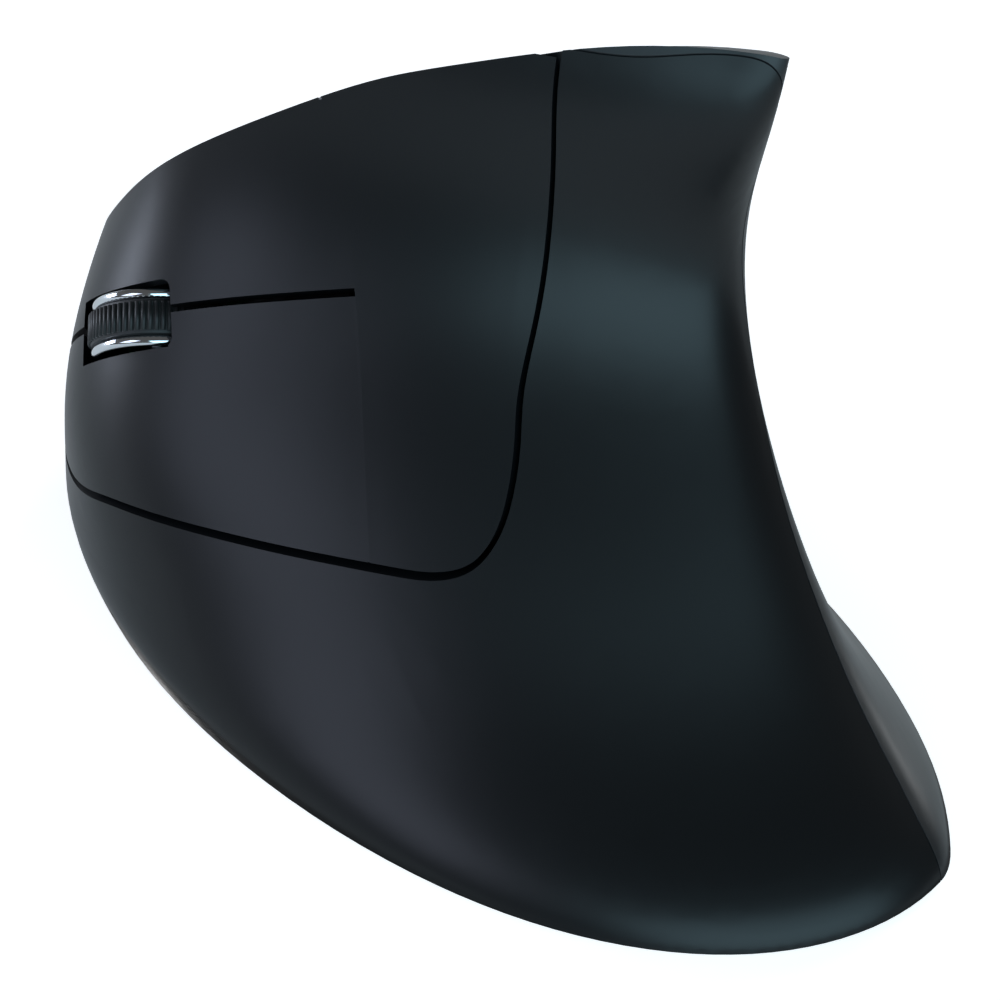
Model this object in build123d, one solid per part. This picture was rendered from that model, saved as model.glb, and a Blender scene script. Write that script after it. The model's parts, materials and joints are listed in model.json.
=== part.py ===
from build123d import *
import math
import os

# Vertical mouse for the left hand, in millimetres. The nose points to -Y, the finger face looks to +X
# and the thumb side to -X. The model is drawn about the rim plane of the shells and moved at export.

# Body
body_length = 122.0
body_width = 74.0
body_height = 76.0
shell_wall = 2.3
key_wall = 1.8
# Ratios that turn a wall into the inset of a level section and of the ridge on these slopes
slope_shares = (1.3, 1.4)
# Shift of the drawn body that centres its outline, in body widths and body lengths
centre_shares = (0.0036, 0.0122)

# Level sections of the body, from the rim upwards. Each row gives the height, the spine point across
# and along, the nose point across and along, the finger bulge, its skew, the roundness of the nose,
# the thumb bulge, its skew and its power, in shares of height, half width and half length
section_shares = (
    (0.000, 0.190, 0.975, -0.230, -0.975, 0.955, 0.10, 0.90, 0.915, -0.17, 0.65),
    (0.040, 0.150, 0.940, -0.230, -1.010, 0.935, 0.10, 0.87, 0.850, -0.17, 0.65),
    (0.105, 0.030, 0.815, -0.232, -1.020, 0.880, 0.07, 0.81, 0.730, -0.17, 0.64),
    (0.210, -0.160, 0.625, -0.235, -1.023, 0.778, 0.00, 0.71, 0.540, -0.13, 0.60),
    (0.355, -0.380, 0.440, -0.250, -1.012, 0.630, -0.05, 0.68, 0.335, -0.05, 0.56),
    (0.540, -0.690, 0.255, -0.345, -0.965, 0.458, -0.06, 0.72, 0.216, 0.04, 0.55),
    (0.750, -0.797, 0.230, -0.400, -0.900, 0.265, -0.06, 0.83, 0.250, 0.08, 0.55),
    (0.960, -0.841, 0.266, -0.443, -0.857, 0.136, -0.05, 0.91, 0.325, 0.05, 0.56),
    (1.160, -0.890, 0.312, -0.497, -0.820, 0.036, 0.00, 1.00, 0.405, 0.00, 0.56),
)
points_per_side = 11

# Ridge that runs from the beak to the nose: across, along and height
ridge_shares = (
    (-0.330, -1.150, 0.263),
    (-0.265, -1.015, 0.388),
    (-0.320, -0.885, 0.522),
    (-0.345, -0.765, 0.625),
    (-0.420, -0.605, 0.722),
    (-0.525, -0.395, 0.830),
    (-0.635, -0.150, 0.922),
    (-0.705, -0.025, 0.955),
    (-0.765, 0.090, 0.976),
    (-0.855, 0.255, 0.982),
    (-0.900, 0.460, 0.975),
)
# Rounded slope from the ridge down to the thumb side, in body heights across and down
crest_shares = ((0.0, 0.0), (-0.065, -0.045), (-0.125, -0.115), (-0.165, -0.205), (-0.185, -0.300))
crest_rise_share = 0.3
clear_share = 1.5

# Seams between the palm shell and the thumb shell
seam_gap = 0.15
ridge_seam_shares = (
    (-0.225, -1.200),
    (-0.240, -1.010),
    (-0.250, -0.920),
    (-0.254, -0.770),
    (-0.324, -0.598),
    (-0.464, -0.362),
    (-0.556, -0.190),
    (-0.673, 0.043),
    (-0.770, 0.164),
    (-0.832, 0.275),
)
spine_seam_shares = (
    (0.230, -0.080),
    (0.190, 0.000),
    (0.150, 0.040),
    (0.030, 0.105),
    (-0.160, 0.210),
    (-0.380, 0.355),
    (-0.690, 0.540),
    (-0.797, 0.750),
    (-0.845, 0.960),
    (-0.900, 1.200),
)
spine_start_share = 0.043
# Space behind the thumb scoop that belongs to the thumb shell, across and height
scoop_start_share = -0.74
scoop_shares = ((-0.46, -1.2), (-0.46, 0.5), (-0.57, 0.6), (-0.57, 0.66), (-3.0, 0.66), (-3.0, -1.2))

# Key cover: its outline seen from the side, along and height, from the nose to the ridge
cover_gap = 0.9
cover_rear_gap = 0.5
cover_ridge_gap = 0.6
cover_shares = (
    (-1.100, 0.112),
    (-1.010, 0.136),
    (-0.866, 0.168),
    (-0.757, 0.213),
    (-0.672, 0.237),
    (-0.566, 0.257),
    (-0.366, 0.283),
    (-0.225, 0.297),
    (-0.110, 0.305),
    (-0.026, 0.314),
    (0.016, 0.332),
    (0.029, 0.360),
    (0.023, 0.395),
    (-0.003, 0.447),
    (-0.028, 0.487),
    (-0.052, 0.563),
    (-0.077, 0.697),
    (-0.092, 0.816),
    (-0.115, 0.958),
    (-0.125, 1.053),
)
slot_width = 0.9
slot_offset = -0.4
flex_gap = 0.4
flex_back = 28.0
key_post_radius = 1.4

# Finger frame: a point on the cover over the wheel, the slot direction and the way that the face looks
wheel_point_shares = (0.097, -0.797, 0.441)
slot_direction_shares = (0.283, -0.907, -0.307)
face_direction_shares = (0.613, -0.075, 0.786)

# Scroll wheel
wheel_radius = 8.5
wheel_stand_out = 1.5
tyre_width = 4.3
tyre_depth = 2.2
rim_width = 1.3
rim_step = 0.4
axle_radius = 1.2
axle_clearance = 0.05
wheel_clearance = 0.6
opening_length = 10.4
opening_width = 7.8
opening_corner = 1.2
carrier_arm_gap = 0.55
carrier_arm = 1.2
carrier_arm_length = 6.0
carrier_floor = 1.0
carrier_under_wheel = 0.4
tongue_width = 4.0
tongue_thickness = 1.2
tongue_offset = 0.7
encoder_width = 2.2
encoder_length = 6.0
encoder_wall = 0.4
encoder_gap = 0.5

# Slanted switch board under the keys
board_thickness = 1.2
board_gap = 0.8
switch_board_back = 36.0
switch_board_front = 9.0
switch_board_up = 10.5
switch_board_down = 16.5
board_post_radius = 1.8
board_post_places = ((-30.0, -2.0), (-5.0, -7.0), (6.0, -4.0))
bridge_post_places = ((-32.0, 0.0), (-32.0, 13.0))
pillar_place = (1.1, -48.5)

# Microswitches and small push switches
micro_length = 12.8
micro_width = 5.8
micro_height = 6.5
plunger_length = 2.6
plunger_width = 1.4
plunger_rise = 0.8
plunger_clearance = 0.05
press_gap = 0.3
switch_back = 12.0
switch_plunger_offset = 3.6
upper_switch_offset = -6.0
lower_switch_offset = 13.0
tact_size = 6.0
tact_height = 3.5
tact_stem_radius = 1.5
tact_stem_rise = 0.7
low_tact_size = 4.5
low_tact_height = 1.9
wheel_switch_back = 13.0

# Thumb buttons and their board
side_board_across = -23.4
side_board_along = -11.5
side_board_up = 50.0
side_board_length = 40.0
side_board_height = 13.0
side_board_tilt = 10.0
side_button_height = 6.0
side_button_length = 11.4
side_button_places = (2.2, 15.2)
side_switch_places = (2.2, 12.2)
dpi_button_length = 6.0
dpi_button_height = 5.0
dpi_button_place = -15.5
button_corner = 1.6
button_gap = 0.25
button_raise = 0.6
button_back = 1.2
button_post_radius = 1.3
side_post_places = ((-10.0, 5.0), (9.5, 5.0))
side_post_radius = 1.4

# Base plate and its screws
base_thickness = 2.0
base_gap = 0.2
foot_height = 0.8
foot_width = 4.0
foot_length = 15.0
foot_places = ((-5.0, -53.5, 0.0), (7.5, 49.0, 0.0), (-28.5, -20.0, 90.0), (28.5, -2.0, 90.0))
screw_places = ((22.0, -20.0), (20.0, 21.0), (-23.0, -40.0), (-17.0, 21.0))
screw_head_radius = 2.2
screw_head_height = 1.1
screw_radius = 1.1
screw_length = 8.0
screw_clearance = 0.15
boss_radius = 2.6

# Cells, cradle and door
cell_radius = 5.25
cell_length = 44.5
cell_nub_radius = 1.9
cell_nub_length = 1.0
cell_pitch = 10.8
cell_gap = 0.3
cradle_across = 3.4
cradle_front = -19.0
cradle_wall = 1.2
spring_length = 4.0
spring_radius = 2.6
spring_wire = 0.4
spring_turns = 4
contact_plate = 0.5
door_gap = 0.3
door_grip_width = 12.0
door_grip_depth = 0.5
door_ledge = 1.2

# Receiver and its bay
receiver_across = -17.7
receiver_back = -9.0
plug_width = 12.0
plug_height = 4.5
plug_length = 11.5
plug_wall = 0.5
cap_width = 13.0
cap_height = 6.0
cap_length = 7.0
cap_corner = 1.0
receiver_gap = 0.2
bay_wall = 0.8
bay_travel = 8.0
bay_floor = 1.0

# Main board, sensor and power switch
main_board_across = 32.0
main_board_front = -44.0
main_board_back = -22.0
main_board_lift = 4.0
main_post_radius = 1.8
main_post_inset = 3.0
sensor_place = (0.0, -33.0)
sensor_length = 12.0
sensor_width = 9.0
sensor_height = 3.0
lens_radius = 3.4
lens_gap = 0.3
lens_block = 11.0
lens_recess = 0.6
led_radius = 1.5
led_length = 4.5
led_reach = 10.8
power_place = (11.0, -34.0)
power_length = 9.0
power_width = 4.0
power_travel = 2.5
power_knob = 4.0
power_recess = 0.9
power_gap = 0.3
power_stem = 1.6

half_width = body_width / 2
half_length = body_length / 2
overrun = 1.0

wheel_point = Vector(
    wheel_point_shares[0] * half_width,
    wheel_point_shares[1] * half_length,
    wheel_point_shares[2] * body_height,
)
finger = Plane(origin=wheel_point, x_dir=slot_direction_shares, z_dir=face_direction_shares)
side_turn = math.radians(side_board_tilt)
thumb = Plane(
    origin=(side_board_across, side_board_along, side_board_up),
    x_dir=(0, math.cos(side_turn), math.sin(side_turn)),
    z_dir=(-1, 0, 0),
)
wheel_depth = wheel_stand_out - wheel_radius
wheel_floor = wheel_depth - wheel_radius - carrier_under_wheel
board_top = wheel_floor - carrier_floor - board_gap
key_seat = board_top + micro_height + plunger_rise + press_gap
base_top = base_thickness
main_board_low = base_top + main_board_lift
main_board_top = main_board_low + board_thickness
cell_low = base_top + cell_gap
cell_axis = cell_low + cell_radius
cell_front = cradle_front + spring_length
cell_back = cell_front + cell_length
cradle_back = cell_back + cell_nub_length + contact_plate


def block(plane, low, high):
    """Box between two corners given in a plane's own axes."""
    size = [b - a for a, b in zip(low, high)]
    centre = [(a + b) / 2 for a, b in zip(low, high)]
    return plane * Pos(*centre) * Box(*size)


def rod(plane, across, along, radius, low, high):
    """Cylinder along a plane's normal."""
    return plane * Pos(across, along, (low + high) / 2) * Cylinder(radius, high - low)


def section_wire(row, inset):
    """Closed level section of the body, drawn smaller by an inset."""
    height, sx, sy, nx, ny, finger_bulge, finger_skew, nose, thumb_bulge, thumb_skew, power = row
    spine = Vector(sx * half_width, sy * half_length)
    tip = Vector(nx * half_width, ny * half_length)
    middle = (spine + tip) / 2
    reach = (spine - tip).length / 2 - inset
    ahead = (spine - tip).normalized()
    outward = Vector(ahead.Y, -ahead.X)
    points = []
    for side, bulge, skew, bend in ((1, finger_bulge, finger_skew, 0.5), (-1, thumb_bulge, thumb_skew, power)):
        for step in range(points_per_side):
            turn = side * math.cos(math.pi * step / points_per_side)
            along = turn if turn > 0 else -abs(turn) ** nose
            across = (bulge * half_width - inset) * (1 - turn * turn) ** bend * (1 + skew * turn)
            spot = middle + ahead * (reach * along) + outward * (side * across)
            points.append(Vector(spot.X, spot.Y, height * body_height))
    return Wire([Edge.make_spline(points, periodic=True)])


def ridge_section(row, drop):
    """Closed upright section of the space above the ridge and beside the thumb slope."""
    across, along, height = row
    ridge = Vector(across * half_width, along * half_length, height * body_height - drop)
    slope = [ridge + Vector(dx * body_height, 0, dz * body_height) for dx, dz in crest_shares]
    lift = crest_rise_share * body_height
    inner = ridge + Vector(lift, 0, lift)
    roof = body_height * clear_share
    far = -body_width * clear_share
    corners = [
        slope[-1],
        Vector(far, ridge.Y, slope[-1].Z),
        Vector(far, ridge.Y, roof),
        Vector(inner.X, ridge.Y, roof),
        inner,
        slope[0],
    ]
    lines = [Edge.make_line(a, b) for a, b in zip(corners, corners[1:])]
    return Wire([Edge.make_spline(slope)] + lines)


def body_form(inset):
    """Whole body as one solid, drawn smaller all round by an inset."""
    level, ridge = slope_shares
    form = Solid.make_loft([section_wire(row, inset * level) for row in section_shares])
    above = Solid.make_loft([ridge_section(row, inset * ridge) for row in ridge_shares])
    return form - above


def hollow_form(outer, cavity):
    """Skin between an outer form and a cavity that lies wholly inside it and shares its floor plane."""
    floors = [form.faces().sort_by(Axis.Z)[0] for form in (outer, cavity)]
    walls = [face for form, floor in zip((outer, cavity), floors) for face in form.faces() if face != floor]
    rim = Face(floors[0].outer_wire(), [floors[1].outer_wire()])
    return Solid(Shell(walls + [rim]))


def plan_prism(shares, shift):
    """Upright prism on the finger side of a plan curve, with the curve moved across by a shift."""
    points = [Vector(x * half_width + shift, y * half_length, -body_height) for x, y in shares]
    far = body_width * clear_share
    edge = Edge.make_spline(points)
    back = Vector(points[-1].X - far, points[-1].Y + far, -body_height)
    corners = [points[-1], back, Vector(far, back.Y, -body_height), Vector(far, points[0].Y, -body_height)]
    corners.append(points[0])
    lines = [Edge.make_line(a, b) for a, b in zip(corners, corners[1:])]
    return Solid.extrude(Face(Wire([edge] + lines)), Vector(0, 0, body_height * clear_share * 2))


def spine_prism(shift):
    """Prism along the body on the finger side of the spine, with a box for all that lies in front."""
    start = spine_start_share * half_length
    points = [Vector(x * half_width + shift, start, z * body_height) for x, z in spine_seam_shares]
    far = body_width * clear_share
    edge = Edge.make_spline(points)
    corners = [points[-1], Vector(far, start, points[-1].Z), Vector(far, start, points[0].Z), points[0]]
    lines = [Edge.make_line(a, b) for a, b in zip(corners, corners[1:])]
    rear = Solid.extrude(Face(Wire([edge] + lines)), Vector(0, body_length, 0))
    front = block(Plane.XY, (-far, -body_length, -body_height), (far, start, body_height * clear_share))
    nose = scoop_start_share * half_length
    outline = [Vector(x * half_width, nose, z * body_height) for x, z in scoop_shares]
    scoop = Solid.extrude(Face(Wire.make_polygon(outline, close=True)), Vector(0, start - nose, 0))
    return rear + (front - scoop)


def palm_region(shift):
    """Space that the palm shell and the key cover may fill."""
    return plan_prism(ridge_seam_shares, shift) & spine_prism(shift)


def cover_prism(low_gap, rear_gap):
    """Prism across the body inside the cover's outline, grown by gaps along its lower and rear seams."""
    points = [Vector(-body_width, y * half_length, z * body_height) for y, z in cover_shares]
    grown = []
    last = len(points) - 1
    for index, spot in enumerate(points):
        ahead = points[min(index + 1, last)] - points[max(index - 1, 0)]
        outward = Vector(0, ahead.Z, -ahead.Y).normalized()
        gap = low_gap + (rear_gap - low_gap) * index / last
        grown.append(spot + outward * gap)
    edge = Edge.make_spline(grown)
    front = -body_length * clear_share
    roof = body_height * clear_share
    corners = [
        grown[-1],
        Vector(-body_width, grown[-1].Y, roof),
        Vector(-body_width, front, roof),
        Vector(-body_width, front, grown[0].Z),
        grown[0],
    ]
    lines = [Edge.make_line(a, b) for a, b in zip(corners, corners[1:])]
    return Solid.extrude(Face(Wire([edge] + lines)), Vector(body_width * clear_share * 2, 0, 0))


def wheel_cutters():
    """Opening in the cover round the wheel, with the slot that parts the keys."""
    tall = body_height
    window = finger * Pos(0, 0, -key_wall) * Box(opening_length, opening_width, tall)
    window = fillet(window.edges().filter_by(Axis(finger.origin, finger.z_dir)), opening_corner)
    relief_radius = wheel_radius + wheel_clearance
    relief = finger * Pos(0, 0, wheel_depth) * Rot(90, 0, 0) * Cylinder(relief_radius, opening_width)
    slot = block(
        finger,
        (-flex_back, slot_offset - slot_width / 2, -tall / 2),
        (body_length, slot_offset + slot_width / 2, tall / 2),
    )
    return window, relief, slot


def switch_spots():
    """Places of the two microswitches in the finger frame: middle along, middle across."""
    middle = -switch_back - switch_plunger_offset
    return {"upper": (middle, upper_switch_offset), "lower": (middle, lower_switch_offset)}


def cover_posts():
    """Posts under the cover: two that end just above the microswitches and two that stand on the board."""
    tall = body_height / 2
    posts = []
    for along, across in switch_spots().values():
        spot = along + switch_plunger_offset
        posts.append(rod(finger, spot, across, key_post_radius, key_seat, tall))
    for along, across in bridge_post_places:
        posts.append(rod(finger, along, across, board_post_radius, board_top, tall))
    return posts


def cover_nodes(outer, region):
    """The fixed rear of the key cover and its two keys, all cut from one skin with its posts."""
    hollow = hollow_form(outer, body_form(key_wall).cut(*cover_posts()))
    skin = hollow & region & cover_prism(0, 0)
    far = body_length
    behind = block(finger, (-far, -far, -far), (-flex_back - flex_gap / 2, far, far))
    ahead = block(finger, (-flex_back + flex_gap / 2, -far, -far), (far, far, far))
    lower_half = block(finger, (-far, slot_offset, -far), (far, far, far))
    moving = (skin & ahead).cut(*wheel_cutters())
    return {"key_bridge": skin & behind, "upper_key": moving - lower_half, "lower_key": moving & lower_half}


def button_sketch(length, height, gap):
    """Oblong of a thumb button with its corners taken off, grown by a gap."""
    oblong = Rectangle(length + gap * 2, height + gap * 2)
    return chamfer(oblong.vertices(), button_corner)


def button_prisms(gap):
    """Prisms of the thumb buttons across the wall, grown by a gap."""
    sizes = {"dpi": (dpi_button_place, dpi_button_length, dpi_button_height)}
    for name, place in zip(("forward", "back"), side_button_places):
        sizes[name] = (place, side_button_length, side_button_height)
    prisms = {}
    for name, (place, length, height) in sizes.items():
        sketch = thumb * Pos(place, 0, 0) * button_sketch(length, height, gap)
        prisms[name] = extrude(sketch, body_width / 2, dir=(-1, 0, 0))
    return prisms


def button_nodes(raised):
    """Thumb buttons that follow the wall and stand a little proud of it, with posts to their switches."""
    places = dict(zip(("dpi", "forward", "back"), (dpi_button_place,) + side_switch_places))
    nodes = {}
    for name, prism in button_prisms(0).items():
        rise = low_tact_height if name == "dpi" else tact_height
        start = rise + tact_stem_rise + press_gap
        wall = raised & prism & block(thumb, *side_space(start + button_back))
        post = rod(thumb, places[name], 0, button_post_radius, start, start + button_back)
        nodes[name + "_button"] = wall + post
    return nodes


def side_space(low):
    """Corners of all space that lies beyond a distance from the side board, on the thumb side."""
    return (-body_length, -body_length, low), (body_length, body_length, body_width)


def shell_posts():
    """Screw bosses and board posts that stay as material in the hollow of the shells."""
    posts = []
    for across, along in screw_places:
        pillar = rod(Plane.XY, across, along, boss_radius, base_top, body_height)
        posts.append(pillar - rod(Plane.XY, across, along, screw_radius, 0, base_top + screw_length))
    floor_high = base_top + base_gap
    floor = block(Plane.XY, (-body_width, -body_length, -body_height), (body_width, body_length, floor_high))
    for along, across in board_post_places:
        low = board_top - board_thickness
        posts.append(rod(finger, along, across, board_post_radius, -body_height, low) - floor)
    for along, across in side_post_places:
        posts.append(rod(thumb, along, across, side_post_radius, 0, body_width))
    return posts


def shell_nodes(outer, lined, region, grown_region):
    """Palm shell and thumb shell, hollow, with the cover's window, the button windows and their posts."""
    hollow = hollow_form(outer, lined.cut(*shell_posts()))
    palm = (hollow & region) - cover_prism(cover_gap, cover_rear_gap)
    thumb_side = (hollow - grown_region).cut(*button_prisms(button_gap).values())
    return {"palm_shell": palm, "thumb_shell": thumb_side}


def wheel_nodes():
    """Wheel with its ribbed tyre band, hub, two bright rims and axle, carried by a rocking carrier."""
    axis = finger * Pos(0, 0, wheel_depth) * Rot(90, 0, 0)
    tyre_inside = wheel_radius - tyre_depth
    tyre = axis * (Cylinder(wheel_radius, tyre_width) - Cylinder(tyre_inside, tyre_width))
    hub = axis * (Cylinder(tyre_inside, tyre_width) - Cylinder(axle_radius, tyre_width))
    rim_radius = wheel_radius - rim_step
    rim_shift = (tyre_width + rim_width) / 2
    rims = []
    for side in (1, -1):
        disc = Cylinder(rim_radius, rim_width) - Cylinder(axle_radius, rim_width)
        rims.append(axis * Pos(0, 0, side * rim_shift) * disc)
    arm_inside = tyre_width / 2 + rim_width + carrier_arm_gap
    arm_outside = arm_inside + carrier_arm
    encoder_outside = arm_outside + encoder_gap + encoder_width
    axle_low = -arm_outside - encoder_gap
    axle = finger * Pos(0, (axle_low + encoder_outside) / 2, wheel_depth) * Rot(90, 0, 0)
    axle *= Cylinder(axle_radius, encoder_outside - axle_low)
    half_arm = carrier_arm_length / 2
    arm_top = wheel_depth + axle_radius + carrier_arm
    floor_low = wheel_floor - carrier_floor
    carrier = block(finger, (-wheel_radius, -arm_outside, floor_low), (wheel_radius, arm_outside, wheel_floor))
    for side in (-1, 1):
        low = min(side * arm_inside, side * arm_outside)
        carrier += block(finger, (-half_arm, low, wheel_floor), (half_arm, low + carrier_arm, arm_top))
    tongue_low = board_top + tact_height + tact_stem_rise + press_gap
    tongue_left = tongue_offset - tongue_width / 2
    tongue_right = tongue_offset + tongue_width / 2
    tongue_end = -wheel_switch_back - tact_stem_radius
    tongue_top = tongue_low + tongue_thickness
    riser_back = -wheel_radius - carrier_arm
    carrier += block(finger, (riser_back, tongue_left, floor_low), (-wheel_radius, tongue_right, tongue_top))
    carrier += block(finger, (tongue_end, tongue_left, tongue_low), (riser_back, tongue_right, tongue_top))
    bore = finger * Pos(0, 0, wheel_depth) * Rot(90, 0, 0)
    carrier -= bore * Cylinder(axle_radius + axle_clearance, body_width)
    half_encoder = encoder_length / 2
    encoder_low = wheel_floor - carrier_floor
    encoder = block(
        finger,
        (-half_encoder, arm_outside, encoder_low),
        (half_encoder, encoder_outside, wheel_depth + axle_radius + encoder_wall),
    )
    encoder -= bore * Cylinder(axle_radius + axle_clearance, body_width)
    return {
        "wheel_tyre": tyre,
        "wheel_hub": hub,
        "wheel_rim_lower": rims[1],
        "wheel_rim_upper": rims[0],
        "wheel_axle": axle,
        "wheel_carrier": carrier,
        "wheel_encoder": encoder,
    }


def micro_switch(along, across):
    """Microswitch on the slanted board, as a body and a plunger."""
    half_l = micro_length / 2
    half_w = micro_width / 2
    top = board_top + micro_height
    body = block(finger, (along - half_l, across - half_w, board_top), (along + half_l, across + half_w, top))
    spot = along + switch_plunger_offset
    deep = top - plunger_length
    slot = plunger_clearance
    hole_low = (spot - plunger_width / 2 - slot, across - plunger_length / 2 - slot, deep - plunger_rise)
    hole_high = (spot + plunger_width / 2 + slot, across + plunger_length / 2 + slot, top)
    plunger_low = (spot - plunger_width / 2, across - plunger_length / 2, deep)
    plunger_high = (spot + plunger_width / 2, across + plunger_length / 2, top + plunger_rise)
    return body - block(finger, hole_low, hole_high), block(finger, plunger_low, plunger_high)


def tact_switch(plane, along, across, seat, size, height):
    """Small push switch on a board, as a body and a round stem."""
    half = size / 2
    top = seat + height
    body = block(plane, (along - half, across - half, seat), (along + half, across + half, top))
    bore_low = seat + height / 3
    bore = rod(plane, along, across, tact_stem_radius + plunger_clearance, bore_low, top)
    stem_low = bore_low + tact_stem_rise
    stem = rod(plane, along, across, tact_stem_radius, stem_low, top + tact_stem_rise)
    return body - bore, stem


def switch_nodes():
    """All switches with their moving tips."""
    nodes = {}
    for side, (along, across) in switch_spots().items():
        nodes[side + "_switch"], nodes[side + "_plunger"] = micro_switch(along, across)
    spot = (-wheel_switch_back, tongue_offset, board_top, tact_size, tact_height)
    nodes["wheel_switch"], nodes["wheel_plunger"] = tact_switch(finger, *spot)
    for name, place in zip(("forward", "back"), side_switch_places):
        pair = tact_switch(thumb, place, 0, 0, tact_size, tact_height)
        nodes[name + "_switch"], nodes[name + "_plunger"] = pair
    pair = tact_switch(thumb, dpi_button_place, 0, 0, low_tact_size, low_tact_height)
    nodes["dpi_switch"], nodes["dpi_plunger"] = pair
    return nodes


def board_nodes(room):
    """The slanted switch board, the upright side board and the level main board."""
    low = board_top - board_thickness
    slanted = block(
        finger,
        (-switch_board_back, -switch_board_up, low),
        (switch_board_front, switch_board_down, board_top),
    )
    half_l = side_board_length / 2
    half_h = side_board_height / 2
    upright = block(thumb, (-half_l, -half_h, -board_thickness), (half_l, half_h, 0))
    half_a = main_board_across / 2
    level = block(
        Plane.XY,
        (-half_a, main_board_front, main_board_low),
        (half_a, main_board_back, main_board_top),
    )
    return {"switch_board": slanted & room, "side_board": upright & room, "main_board": level & room}


def main_posts():
    """Places of the posts that carry the main board."""
    across = main_board_across / 2 - main_post_inset
    front = main_board_front + main_post_inset
    back = main_board_back - main_post_inset
    return [(side * across, along) for side in (-1, 1) for along in (front, back)]


def receiver_bay():
    """Bay for the receiver: its outer block and the space cut from it."""
    half = cap_width / 2 + receiver_gap
    front = receiver_back - plug_length - receiver_gap
    back = receiver_back + cap_length + bay_travel
    roof = bay_floor + cap_height + receiver_gap
    left = receiver_across - half
    right = receiver_across + half
    shell = block(
        Plane.XY,
        (left - bay_wall, front - bay_wall, 0),
        (right + bay_wall, back + bay_wall, roof + bay_wall),
    )
    middle = bay_floor + cap_height / 2 - receiver_gap
    plug_half = plug_width / 2 + receiver_gap
    plug_low = middle - plug_height / 2 - receiver_gap
    plug_high = middle + plug_height / 2 + receiver_gap
    pocket = block(
        Plane.XY,
        (receiver_across - plug_half, front, plug_low),
        (receiver_across + plug_half, receiver_back, plug_high),
    )
    open_part = block(Plane.XY, (left, receiver_back - receiver_gap, -overrun), (right, back, roof))
    return shell, pocket + open_part


def base_plate(room):
    """Base plate with the bay, the door opening, the posts and the screw holes."""
    plate = room & block(Plane.XY, (-body_width, -body_length, 0), (body_width, body_length, base_top))
    shell, hollow = receiver_bay()
    plate = plate + shell - hollow
    for across, along in main_posts():
        plate += rod(Plane.XY, across, along, main_post_radius, base_top, main_board_low)
    pillar = rod(Plane.XY, pillar_place[0], pillar_place[1], main_post_radius, base_top, body_height)
    far = body_length
    plate += pillar - block(finger, (-far, -far, board_top - board_thickness), (far, far, far))
    plate -= block(Plane.XY, *door_corners(0, -overrun, base_top + overrun))
    plate -= rod(Plane.XY, sensor_place[0], sensor_place[1], lens_radius + lens_gap, -overrun, base_top)
    knob = power_knob + power_travel
    reach = knob / 2 + power_gap
    side = power_knob / 2 + power_gap
    x, y = power_place
    plate -= block(Plane.XY, (x - reach, y - side, -overrun), (x + reach, y + side, power_recess))
    stem_reach = (power_stem + power_travel) / 2 + power_gap
    stem_side = power_stem / 2 + power_gap
    stem_low = (x - stem_reach, y - stem_side, -overrun)
    plate -= block(Plane.XY, stem_low, (x + stem_reach, y + stem_side, base_top))
    for across, along in screw_places:
        head = screw_head_radius + screw_clearance
        plate -= rod(Plane.XY, across, along, head, -overrun, screw_head_height + screw_clearance)
        plate -= rod(Plane.XY, across, along, screw_radius + screw_clearance, -overrun, base_top)
    return plate


def door_corners(gap, low, high):
    """Corners of the door opening, drawn smaller by a gap."""
    half = cell_pitch / 2 + cell_radius + cell_gap
    left = cradle_across - half + gap
    right = cradle_across + half - gap
    return (left, cradle_front + gap, low), (right, cradle_back - gap, high)


def battery_nodes(room):
    """Cell cradle, two cells, their contacts and the door under them."""
    half = cell_pitch / 2 + cell_radius + cell_gap
    left = cradle_across - half
    right = cradle_across + half
    roof = cell_axis + cell_radius + cell_gap
    cradle = block(
        Plane.XY,
        (left - cradle_wall, cradle_front - cradle_wall, base_top),
        (right + cradle_wall, cradle_back + cradle_wall, roof + cradle_wall),
    )
    cradle -= block(Plane.XY, (left, cradle_front, base_top - overrun), (right, cradle_back, roof))
    door = block(Plane.XY, *door_corners(door_gap, 0, base_top))
    grip_low = cradle_back - door_gap - door_ledge * 3
    door -= block(
        Plane.XY,
        (cradle_across - door_grip_width / 2, grip_low, -overrun),
        (cradle_across + door_grip_width / 2, grip_low + door_ledge, door_grip_depth),
    )
    nodes = {"battery_cradle": cradle & room, "battery_door": door}
    springs = []
    plates = []
    upright = Plane.XZ
    for name, side in (("inner_cell", -1), ("outer_cell", 1)):
        across = cradle_across + side * cell_pitch / 2
        body = rod(upright, across, cell_axis, cell_radius, -cell_back, -cell_front)
        nub_end = cell_back + cell_nub_length
        body += rod(upright, across, cell_axis, cell_nub_radius, -nub_end, -cell_back)
        nodes[name] = body
        plate_low = (across - cell_nub_radius, nub_end, cell_low)
        plate_high = (across + cell_nub_radius, cradle_back, cell_axis + cell_radius)
        plates.append(block(Plane.XY, plate_low, plate_high))
        springs.append(contact_spring(across))
    nodes["contact_springs"] = Compound(springs)
    nodes["contact_plates"] = Compound(plates)
    return nodes


def contact_spring(across):
    """Coil spring between the front of the cradle and the flat end of a cell."""
    length = spring_length - spring_wire
    pitch = length / spring_turns
    coil = Edge.make_helix(pitch, length, spring_radius, normal=(0, 1, 0))
    start = coil.position_at(0)
    profile = Plane(origin=start, z_dir=coil.tangent_at(0)) * Circle(spring_wire / 2)
    wire = sweep(profile, path=coil)
    return wire.solids()[0].moved(Location((across, cradle_front + spring_wire / 2, cell_axis)))


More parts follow.
